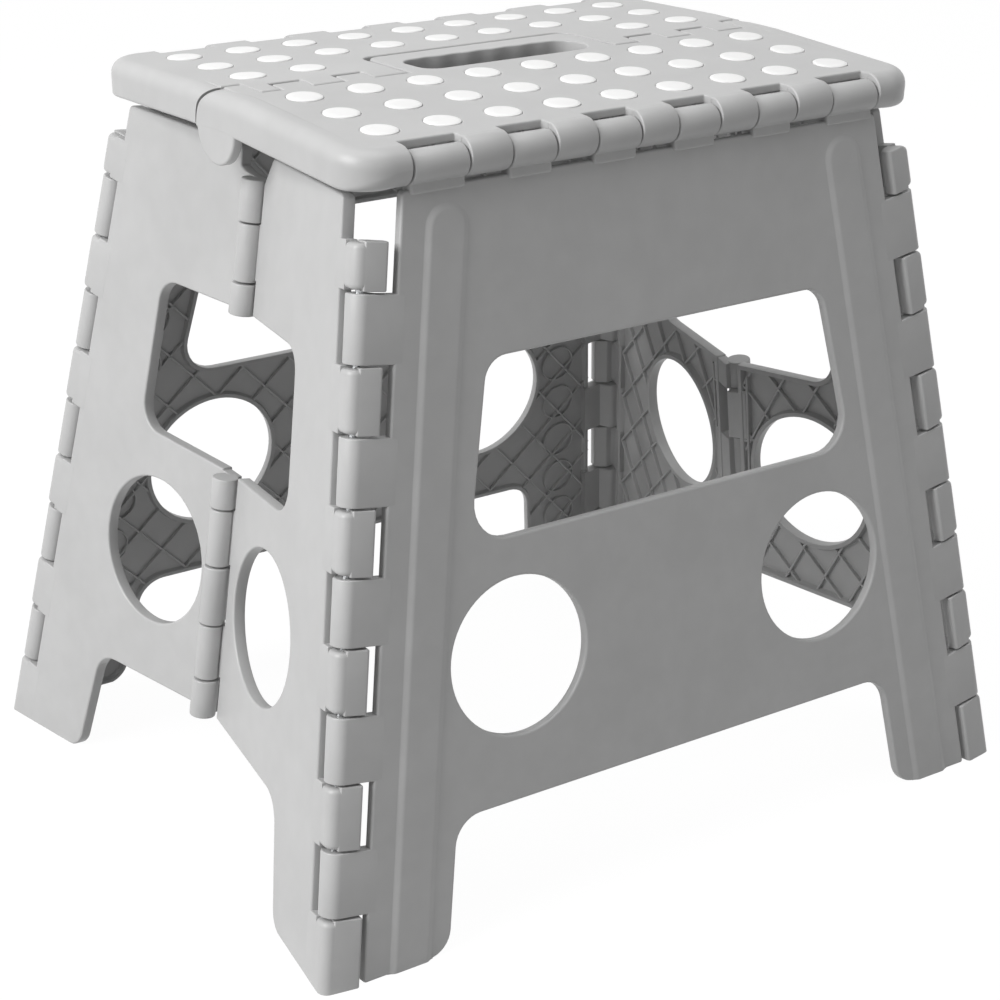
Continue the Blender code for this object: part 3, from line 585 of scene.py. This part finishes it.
# folding ends
endPanel = {
    "depth": 0.0065,
    "skin": 0.0028,
    "wall": 0.0028,
    "edge": 0.0011,
    "tilt": 0.0735,
    "topZ": 0.361,
    "cornerTopZ": 0.3660,
    "below": -0.0006,
    "footRound": 0.012,
    "arch": (0.0960, 0.0625, 0.016),
    "footInner": 0.1095,
    "openingTop": (0.0678, 0.2817, 0.013),
    "openingBottom": (0.0762, 0.2010, 0.0145),
    "circle": (0.0573, 0.1358, 0.040),
    "middleBack": 0.0072,
    "barrelRadius": {-1: 0.0063, 1: 0.0069},
    "upperHinge": (0.348, 0.326, 0.296, 0.279),
    "lowerHinge": (0.195, 0.178, 0.147, 0.115, 0.0845, 0.063),
    "topNotch": {-1: (0.0170, 0.345), 1: (0.0140, 0.3505)},
    "lattice": {
        "slants": (math.radians(52), math.radians(-52)),
        "pitch": 0.0205,
        "half": 0.0007,
        "tuck": 0.0016,
        "margin": 0.0028,
    },
    "latticeRise": 0.0013,
    "frameBack": (0.0125, 0.0235),
    "frameHalf": 0.0008,
    "frameEnds": (-0.007, 0.004),
    "webRoot": 0.005,
    "webReach": 0.0017,
}


def endFrames(sx, sy, look):
    foot = cornerAt(sx, sy, 0)
    up = (cornerAt(sx, sy, 1) - foot).normalized()
    across = middleAt(sx, 0) - foot
    across = (across - up * across.dot(up)).normalized()
    out = up.cross(across)
    if out.x * sx < 0:
        out = -out
    turn = math.atan(look["tilt"])
    leaned = across * math.cos(turn) - out * math.sin(turn)
    faced = out * math.cos(turn) + across * math.sin(turn)
    return placed(leaned, up, faced, foot + out * look["depth"])


def endLoops(sx, sy, plate, look):
    back = plate.inverted()
    grid = Matrix(((plate[1][0], plate[1][1]), (plate[2][0], plate[2][1]))).inverted()

    def at(y, z, radius=0.0):
        spot = grid @ Vector((sy * y - plate[1][3], z - plate[2][3]))
        return spot.x, spot.y, radius

    def byMiddle(z, radius=0.0):
        local = back @ middleAt(sx, z)
        return local.x - look["middleBack"], local.y, radius

    def byCorner(z, extra=0.0, radius=0.0):
        local = back @ cornerAt(sx, sy, z)
        return local.x + cornerHinge["edgeBack"] + extra, local.y, radius

    notchY, notchZ = look["topNotch"][sy]
    outer = [
        at(look["footInner"], look["below"], look["footRound"]),
        byCorner(look["below"]),
        byCorner(look["cornerTopZ"], -0.001, 0.003),
        at(notchY, look["topZ"], 0.003),
        byMiddle(notchZ, 0.002) if sy < 0 else at(notchY, notchZ, 0.002),
    ]
    if sy > 0:
        outer.append(byMiddle(notchZ - 0.004))
    outer += [
        byMiddle(look["upperHinge"][-1], 0.001),
        at(*look["openingTop"]),
        at(*look["openingBottom"]),
        byMiddle(look["lowerHinge"][0], 0.001),
        byMiddle(look["arch"][1]),
        at(*look["arch"]),
    ]
    u, v, _ = at(*look["circle"][:2])
    return [wound(outer), wound(roundLoop(u, v, look["circle"][2], 72), hole=True)]


def cornerKnuckle(made, place, length, flush, lowest):
    # a flange flush with the wide panel, a notched corner and a root in the end's plate
    front, notch = cornerHinge["front"], cornerHinge["notch"]
    flange = cornerHinge["footFlange" if lowest else "flange"]
    start = -0.008 if lowest else 0.0
    face = [
        (-front, 0.0010, 0.0008),
        (-front, -flange, 0.0016),
        (-0.0010, -flange, 0.0016),
        (0.0030, -0.0040, 0.002),
        (0.0030, 0.0010, 0.0008),
    ]
    roundedPrism(made, face, place, start, length, cornerHinge["round"], toFloor=lowest)
    bend = [
        (0.0062, 0.0006, 0),
        (0.0062, flush - 0.00002, 0),
        (-front + 0.00002, flush - 0.00002, 0.0052),
        (-front + 0.00002, -0.0030, 0),
        (-0.0020, -0.0030, 0),
    ]
    low = start if lowest else cornerHinge["round"]
    roundedPrism(made, bend, place, low, length - cornerHinge["round"], notch, 5, toFloor=lowest)
    root = boxLoop(0.0026, 0.0006, cornerHinge["reach"], flush)
    roundedPrism(made, root, place, start, length, 0.0006, toFloor=lowest)


def hingeFrames(made, sx, plate, look):
    # pockets on the inside, beside the barrels of the middle hinge
    half = look["frameHalf"]
    low, high = -look["depth"] + 0.0004, -look["skin"] + ribs["sink"]
    near, far = look["frameBack"]
    for heights, backs in ((look["upperHinge"], (near, far)), (look["lowerHinge"], (near,))):
        marks = [plate.inverted() @ middleAt(sx, z) for z in heights]
        first, last = (marks[k] + Vector((0, look["frameEnds"][k], 0)) for k in (0, -1))
        ends = ((first, -half), (first, half), (last, half), (last, -half))
        for back in backs:
            thinRib(made, [(p.x - back + side, p.y, 0) for p, side in ends], plate, low, high)
        for mark in marks[1:-1]:
            start, end = mark.x - backs[-1], mark.x - look["middleBack"] - 0.002
            thinRib(made, boxLoop(start, mark.y - half, end, mark.y + half), plate, low, high)


def endShell(sx, sy, hand, where, look):
    plate = endFrames(sx, sy, look)
    leaned, up, faced = (plate.col[i].xyz for i in range(3))
    made = bmesh.new()
    loops = endLoops(sx, sy, plate, look)
    depth = look["depth"]
    trayPlate(made, loops, plate, -depth, 0.0, look["skin"], look["wall"], look["edge"])
    cutSole(made)
    low, high = -depth + look["latticeRise"], -look["skin"] + ribs["sink"]
    lattice(made, shortened(loops, ribs["footZ"]), plate, low, high, look["lattice"])
    for k, (low, high) in enumerate(knuckleSpans()):
        foot = cornerAt(sx, sy, low)
        length = (cornerAt(sx, sy, high) - foot).length
        knuckle = placed(leaned, faced, up, foot)
        flush = depth * math.cos(math.atan(look["tilt"])) + 0.00003
        lowest = k == len(knuckleSpans()) - 1
        cornerKnuckle(made, knuckle, length, flush, lowest)
    own = 0 if sy > 0 else 1
    gap = fold["hingeGap"] / 2
    circle = roundLoop(0, 0, look["barrelRadius"][sy], 44)
    for heights in (look["upperHinge"], look["lowerHinge"]):
        for k in range(own, len(heights) - 1, 2):
            foot = middleAt(sx, heights[k + 1] + gap)
            along = middleAt(sx, heights[k] - gap) - foot
            turnTo = along.to_track_quat("Z", "Y").to_matrix().to_4x4()
            barrel = Matrix.Translation(foot) @ turnTo
            roundedPrism(made, circle, barrel, 0, along.length, 0.0007)
            first, last = (plate.inverted() @ (foot + along * part) for part in (0, 1))
            root, reach = look["middleBack"] + look["webRoot"], look["webReach"]
            web = [
                (first.x - root, first.y + 0.0003, 0),
                (first.x + reach, first.y + 0.0003, 0),
                (last.x + reach, last.y - 0.0003, 0),
                (last.x - root, last.y - 0.0003, 0),
            ]
            roundedPrism(made, web, plate, -depth + 0.0006, -0.0002, 0.0005)
    hingeFrames(made, sx, plate, look)
    body = f"{hand}_{where}_end"
    keepPiece(f"{body}_shell", made, plasticGrey, body, [f"{body}_panel"])


for sx, hand in ((-1, "left"), (1, "right")):
    for sy, where in ((-1, "front"), (1, "rear")):
        endShell(sx, sy, hand, where, endPanel)
print("folding ends made")

# top halves
topPanel = {
    "halfX": 0.1715,
    "roll": 0.0095,
    "corner": 0.022,
    "skin": 0.0040,
    "edge": 0.0009,
    "tabGap": 0.0011,
    "tabSlot": 0.0056,
    "rollBack": 0.0110,
    "tongueX": {-1: 0.066, 1: 0.061},
    "tongueY": 0.034,
    "tongueRound": 0.008,
    "slot": (-0.0575, 0.0492, -0.0098, 0.0172),
    "slotWave": 0.0010,
    "waves": 5,
    "waveSteps": 48,
    "slotRound": 0.0105,
    "seamGap": 0.0004,
    "fingerGap": 0.0026,
    "tongueGap": 0.0020,
    "seamY": -0.010,
    "fingerY": 0.0005,
    "fingers": {
        -1: ((0.0875, 0.104), (0.1225, 0.1400)),
        1: ((0.0790, 0.0975), (0.1145, 0.1326)),
    },
    "lugX": 0.1515,
    "lugCentre": (0.0010, 0.3750),
    "lugRadius": 0.0185,
    "lugGap": 0.0009,
    "lugDeckY": 0.0090,
    "lugThick": 0.0055,
    "lugArc": (16, 212),
    "rimRounds": (0.0030, 0.0018, 0.0076, 0.0080),
    "rimEndY": {-1: -0.0200, 1: 0.0300},
    "dotRadius": 0.0090,
    "dotPitch": 0.03444,
    "dotRows": (0.0269, 0.0600, 0.0930),
    "dotRise": 0.0006,
    "underRibHalf": 0.0008,
    "underRibLow": 0.0012,
    "underRibX": 0.1525,
    "gripWall": 0.0030,
    "gripDrop": 0.0040,
}


def topFrame(sy):
    slope = fold["topSlope"]
    inward = Vector((0, -sy * math.cos(slope), math.sin(slope)))
    out = Vector((0, sy * math.sin(slope), math.cos(slope)))
    return placed(Vector((1, 0, 0)), inward, out, Vector((0, sy * fold["topY"], fold["topZ"])))


def seamV(sy, y):
    return fold["topY"] - sy * y


def dotPlaces(sy, look):
    for row, reach in enumerate(look["dotRows"]):
        for column in range(-4, 5):
            if sy < 0 or row > 0 or abs(column) > 2:
                yield column * look["dotPitch"], fold["topY"] - reach


def deckHalf(sx, sy, look):
    inside = look["halfX"] - look["roll"]
    bend = look["corner"] - look["roll"]
    rear = sy > 0
    gap = look["seamGap"] if rear else 0.0
    wide = look["tongueGap"] if rear else 0.0
    seam = look["seamY"] - (0.0 if rear else look["seamGap"])
    finger = look["fingerY"] + (look["fingerGap"] if rear else 0.0)
    lugY = look["lugDeckY"] + wide
    lugX = look["lugX"] - gap
    tongueX = look["tongueX"][sx] + wide
    half = [
        (tongueX, seamV(sy, look["tongueY"] + wide), look["tongueRound"]),
        (tongueX, seamV(sy, seam), 0.0008),
    ]
    for low, high in look["fingers"][sx]:
        half += [(low - gap, seamV(sy, seam), 0.0006), (low - gap, seamV(sy, finger), 0.0008)]
        half += [(high + gap, seamV(sy, finger), 0.0008), (high + gap, seamV(sy, seam), 0.0006)]
    half += [(lugX, seamV(sy, seam), 0.0006), (lugX, seamV(sy, lugY), 0.0008)]
    half += [(inside, seamV(sy, lugY), 0.0006), (inside, 0.0, bend)]
    for low, high in reversed(widePanel["topTabs"]):
        start, end, deep = low - look["tabGap"], high + look["tabGap"], look["tabSlot"]
        half += [(end, 0.0, 0), (end, deep, 0.0006), (start, deep, 0.0006), (start, 0.0, 0)]
    return half


def deckLoop(sy, look):
    # half of the deck from above: slots behind the tabs, and a stepped seam
    left = [(-u, v, radius) for u, v, radius in reversed(deckHalf(-1, sy, look))]
    return wound(deckHalf(1, sy, look) + left)


def slotLoop(look):
    # the handle opening: straight in front, with finger waves behind
    left, right, near, far = look["slot"]
    turn, steps = look["slotRound"], look["waveSteps"]
    front, back = seamV(-1, near), seamV(-1, far)
    loop = [(left, front, turn), (right, front, turn), (right, back, turn)]
    start, stretch = right - turn - 0.001, right - left - 2 * turn - 0.002
    for k in range(steps + 1):
        wave = look["slotWave"] * (1 - math.cos(look["waves"] * 2 * math.pi * k / steps)) / 2
        loop.append((start - stretch * k / steps, seamV(-1, far + wave), 0))
    loop.append((left, back, turn))
    return wound(loop, hole=True)


def rollSegment(made, look, place, start, end):
    # a knuckle of the top between two tabs
    radius = look["roll"]
    section = [(0.0, radius - 0.00005, 0)]
    for k in range(1, 25):
        turn = math.pi / 2 + math.pi * k / 24
        section.append((radius * math.cos(turn), radius * math.sin(turn), 0))
    back = look["rollBack"]
    section += [(0.0060, -radius, 0.002), (back, -0.0040, 0.002), (back, radius - 0.001, 0)]
    along = placed(*(place.col[i].xyz for i in (1, 2, 0, 3)))
    roundedPrism(made, section, along, start, end, 0.0007)


def rimSection(half, inLow, outLow, outTop, inTop):
    # section of the end rim: a shoulder outside, a flat side and a small lower edge
    straight = 2 * half - outLow - outTop
    corners = [(-half, -half, inLow), (half, -half, outLow)]
    corners += [(half, -half + outLow + straight * k / 10, 0) for k in range(1, 10)]
    corners += [(half, half, outTop), (-half, half, inTop)]
    return loopAt(corners, 0.0, 8)


def bendAtRidge(made, place):
    # what reaches over the ridge follows the slope of the other half
    back = place.inverted()
    fall = math.tan(2 * fold["topSlope"])
    for vert in made.verts:
        local = back @ vert.co
        if local.y > fold["topY"]:
            local.z -= (local.y - fold["topY"]) * fall
            vert.co = place @ local


def endRim(made, look, place, sx, sy, lastTab):
    # from the last tab, round the corner, to the centre lug or the cut round it
    radius = look["roll"]
    inside = look["halfX"] - radius
    bend = look["corner"] - radius
    path = [Vector((lastTab, 0.0)), Vector((lastTab + 0.0007, 0.0)), Vector((inside - bend, 0.0))]
    for k in range(1, 13):
        turn = -math.pi / 2 + math.pi / 2 * k / 12
        path.append(Vector((inside - bend + bend * math.cos(turn), bend + bend * math.sin(turn))))
    stretch = seamV(sy, look["rimEndY"][sy]) - bend
    path += [Vector((inside, bend + stretch * k / 8)) for k in range(1, 9)]
    rings = []
    for i, here in enumerate(path):
        ahead = path[min(i + 1, len(path) - 1)] - path[max(i - 1, 0)]
        ahead.normalize()
        side = Vector((ahead.y, -ahead.x))
        share = max(0.0, 1 - max(0, i - 2) / 9)
        plain = radius - 0.00005
        rounds = [edge + (plain - edge) * share for edge in look["rimRounds"]]
        size = 0.93 if i == 0 else 1.0
        ring = []
        for p in rimSection(radius, *rounds):
            spot = here + side * (p.x * size)
            ring.append(place @ Vector((sx * spot.x, spot.y, p.y * size + 0.00003)))
        rings.append(ring)
    lugY, lugZ = look["lugCentre"]
    reach = look["lugRadius"] + (look["lugGap"] if sy > 0 else 0.0)
    for part in (0.25, 0.5, 0.75, 1.0):
        ring = []
        for p in rings[len(path) - 1]:
            cut = lugY + math.sqrt(max(reach ** 2 - (p.z - lugZ) ** 2, 0))
            ring.append(Vector((p.x, p.y + (cut - p.y) * part, p.z)))
        rings.append(ring)
    rim = bmesh.new()
    for edges, facing in zip(skinRings(rim, rings), ((1, 0, 0), (0, 1, 0))):
        bmesh.ops.triangle_fill(rim, use_beauty=True, edges=edges, normal=facing)
    bendAtRidge(rim, place)
    join(made, rim)


def centreLug(made, look, sx):
    # the thin round plate under the rim, over the pivot
    y, z = look["lugCentre"]
    reach = look["lugRadius"] - 0.0001
    loop = []
    first, sweep = look["lugArc"]
    for k in range(49):
        turn = math.radians(first - sweep * k / 48)
        loop.append((y + reach * math.cos(turn), z + reach * math.sin(turn), 0))
    along = placed((0, 1, 0), (0, 0, 1), (1, 0, 0), (0, 0, 0))
    start, end = sorted((sx * (look["halfX"] - look["lugThick"]), sx * (look["halfX"] - 0.00005)))
    roundedPrism(made, loop, along, start, end, 0.0012)


def underRibs(made, look, place, sy, skin):
    # straight stiffening ribs under the deck, between the dots
    low, high, half = look["underRibLow"], skin + 0.0008, look["underRibHalf"]
    far = fold["topY"] - look["dotRows"][0] + 0.0115
    near = look["rollBack"] - 0.002
    for column in range(-4, 4):
        x = (column + 0.5) * look["dotPitch"]
        end = far
        if sy > 0 and abs(x) < look["tongueX"][-1] + 0.012:
            end = seamV(sy, look["tongueY"] + 0.006)
        thinRib(made, boxLoop(x - half, near, x + half, end), place, low, high)
    for row in (0, 1):
        v = fold["topY"] - (look["dotRows"][row] + look["dotRows"][row + 1]) / 2
        reach = look["underRibX"]
        thinRib(made, boxLoop(-reach, v - half, reach, v + half), place, low, high)


def handleWall(made, look, place, skin):
    # the deeper wall round the handle slot, so that the grip is thick
    inner = slotLoop(look)
    outer = [(p.x, p.y, 0) for p in loopAt(inner, look["gripWall"])]
    hole = [(p.x, p.y, 0) for p in loopAt(inner, -0.00002)]
    low, high = skin - look["gripDrop"], look["roll"] - 0.0012
    stations = edgeStations(low, high, 0.0006, 0.0002, 3, 0.0002)
    sweepLoops(made, [wound(outer), wound(hole, hole=True)], place, stations)


def topShell(sy, where, look):
    place = topFrame(sy)
    made = bmesh.new()
    loops = [deckLoop(sy, look)]
    if sy < 0:
        loops.append(slotLoop(look))
    for x, v in dotPlaces(sy, look):
        loops.append(wound(roundLoop(x, v, look["dotRadius"] + 0.00006, 48), hole=True))
    skin = look["roll"] - look["skin"]
    sweepLoops(made, loops, place, edgeStations(skin, look["roll"], 0.0004, look["edge"], 3, 0.0002))
    tabs = sorted(sorted((sx * low, sx * high)) for sx in (-1, 1) for low, high in widePanel["topTabs"])
    gap = look["tabGap"] + 0.00015
    for (_, start), (end, _) in zip(tabs, tabs[1:]):
        rollSegment(made, look, place, start + gap, end - gap)
    underRibs(made, look, place, sy, skin)
    if sy < 0:
        handleWall(made, look, place, skin)
    bendAtRidge(made, place)
    for sx in (-1, 1):
        endRim(made, look, place, sx, sy, widePanel["topTabs"][-1][1] + gap)
        if sy < 0:
            centreLug(made, look, sx)
    body = f"{where}_top"
    keepPiece(f"{body}_shell", made, plasticGrey, body, [f"{body}_panel"])


def gripDots(sy, where, look):
    # white pads that come up through the deck, each on a wider foot under it
    place = topFrame(sy)
    made = bmesh.new()
    radius, top, skin = look["dotRadius"], look["roll"], look["roll"] - look["skin"]
    rise = look["dotRise"]
    rings = [
        (radius * 0.45, top + rise),
        (radius * 0.80, top + rise * 0.94),
        (radius * 0.93, top + rise * 0.72),
        (radius * 0.985, top + rise * 0.30),
        (radius, top - 0.0004),
        (radius, skin - 0.0003),
        (radius + 0.0022, skin - 0.0003),
        (radius + 0.0022, skin - 0.0014),
        (radius + 0.0016, skin - 0.0014),
    ]
    for x, v in dotPlaces(sy, look):
        stack = []
        for reach, level in rings:
            circle = roundLoop(x, v, reach, 48)
            stack.append([place @ Vector((p[0], p[1], level)) for p in circle])
        for edges in skinRings(made, stack):
            bmesh.ops.triangle_fill(made, use_beauty=True, edges=edges)
    body = f"{where}_top"
    keepPiece(f"{body}_dots", made, rubberWhite, body, [f"{where}_grip_dots"])


for sy, where in ((-1, "front"), (1, "rear")):
    topShell(sy, where, topPanel)
    gripDots(sy, where, topPanel)
print("top halves made")

for name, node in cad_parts.items():
    if name.endswith("_pin"):
        node.data.materials.clear()
        node.data.materials.append(steelBright)

# floor, light and camera
studio = {
    "floorSize": 24.0,
    "floorColour": (0.56, 0.56, 0.56, 1),
    "floorGlow": 0.90,
    "glow": 1.08,
    "fill": 0.19,
    "keyPlace": (-2.45, 0.05, 1.78),
    "keyAim": (0, 0, 0.25),
    "keyPower": 72.0,
    "keySize": 1.7,
    "topPlace": (0.2, -0.1, 3.0),
    "topPower": 30.0,
    "topSize": 2.2,
}
view = {
    "place": (-0.69866, -0.97056, 0.63908),
    "azimuth": 33.8816,
    "elevation": 22.6318,
    "roll": -0.4675,
    "focal": 2325.52,
    "centre": (427.96, 503.59),
    "pixels": 1000,
}


def lightAt(name, place, aim, power, size):
    lamp = bpy.data.lights.new(name, "AREA")
    lamp.energy = power
    lamp.size = size
    lit = bpy.data.objects.new(name, lamp)
    lit.location = place
    lit.rotation_euler = (Vector(aim) - Vector(place)).to_track_quat("-Z", "Y").to_euler()
    bpy.context.scene.collection.objects.link(lit)


def seenDirectly(wire):
    # rays that should meet the white background: from the camera, mirrors and glass
    def ray(name):
        return wire.add("ShaderNodeLightPath", output=name)

    return ray("Is Camera Ray") + ray("Is Glossy Ray") + ray("Is Transmission Ray")


def makeFloor(look):
    made = bmesh.new()
    bmesh.ops.create_grid(made, x_segments=1, y_segments=1, size=look["floorSize"] / 2)
    mesh = bpy.data.meshes.new("floor")
    made.to_mesh(mesh)
    made.free()
    floor = bpy.data.objects.new("floor", mesh)
    bpy.context.scene.collection.objects.link(floor)
    material = bpy.data.materials.new("pale_floor")
    material.use_nodes = True
    tree = material.node_tree
    tree.nodes.clear()
    wire = Wire(tree)
    paint = wire.add("ShaderNodeBsdfDiffuse", {}, {"Color": look["floorColour"]})
    glow = wire.add("ShaderNodeEmission", {}, {"Color": (1, 1, 1, 1), "Strength": look["glow"]})
    share = wire.math("MINIMUM", seenDirectly(wire), 1.0) * look["floorGlow"]
    mixed = wire.add("ShaderNodeMixShader", {}, {0: share, 1: paint, 2: glow})
    output = tree.nodes.new("ShaderNodeOutputMaterial")
    mixed.into(output.inputs["Surface"])
    mesh.materials.append(material)


def makeWorld(look):
    world = bpy.data.worlds.new("studio")
    world.use_nodes = True
    bpy.context.scene.world = world
    tree = world.node_tree
    tree.nodes.clear()
    wire = Wire(tree)
    soft = wire.add("ShaderNodeBackground", {}, {"Color": (1, 1, 1, 1), "Strength": look["fill"]})
    white = wire.add("ShaderNodeBackground", {}, {"Color": (1, 1, 1, 1), "Strength": 1.0})
    share = wire.math("MINIMUM", seenDirectly(wire), 1.0)
    mixed = wire.add("ShaderNodeMixShader", {}, {0: share, 1: soft, 2: white})
    output = tree.nodes.new("ShaderNodeOutputWorld")
    mixed.into(output.inputs["Surface"])


def makeCamera(look):
    azimuth, elevation, roll = (math.radians(look[k]) for k in ("azimuth", "elevation", "roll"))
    ahead = Vector((
        math.sin(azimuth) * math.cos(elevation),
        math.cos(azimuth) * math.cos(elevation),
        -math.sin(elevation),
    ))
    right = ahead.cross(Vector((0, 0, 1))).normalized()
    down = ahead.cross(right)
    across = right * math.cos(roll) + down * math.sin(roll)
    below = down * math.cos(roll) - right * math.sin(roll)
    lens = bpy.data.cameras.new("camera")
    lens.sensor_width = 36.0
    lens.lens = 36.0 * look["focal"] / look["pixels"]
    lens.shift_x = 0.5 - look["centre"][0] / look["pixels"]
    lens.shift_y = look["centre"][1] / look["pixels"] - 0.5
    camera = bpy.data.objects.new("camera", lens)
    camera.matrix_world = placed(across, -below, -ahead, look["place"])
    bpy.context.scene.collection.objects.link(camera)
    bpy.context.scene.camera = camera


makeFloor(studio)
makeWorld(studio)
lightAt("key", studio["keyPlace"], studio["keyAim"], studio["keyPower"], studio["keySize"])
lightAt("overhead", studio["topPlace"], studio["keyAim"], studio["topPower"], studio["topSize"])
makeCamera(view)
bpy.context.scene.view_settings.view_transform = "Standard"
print("studio made")
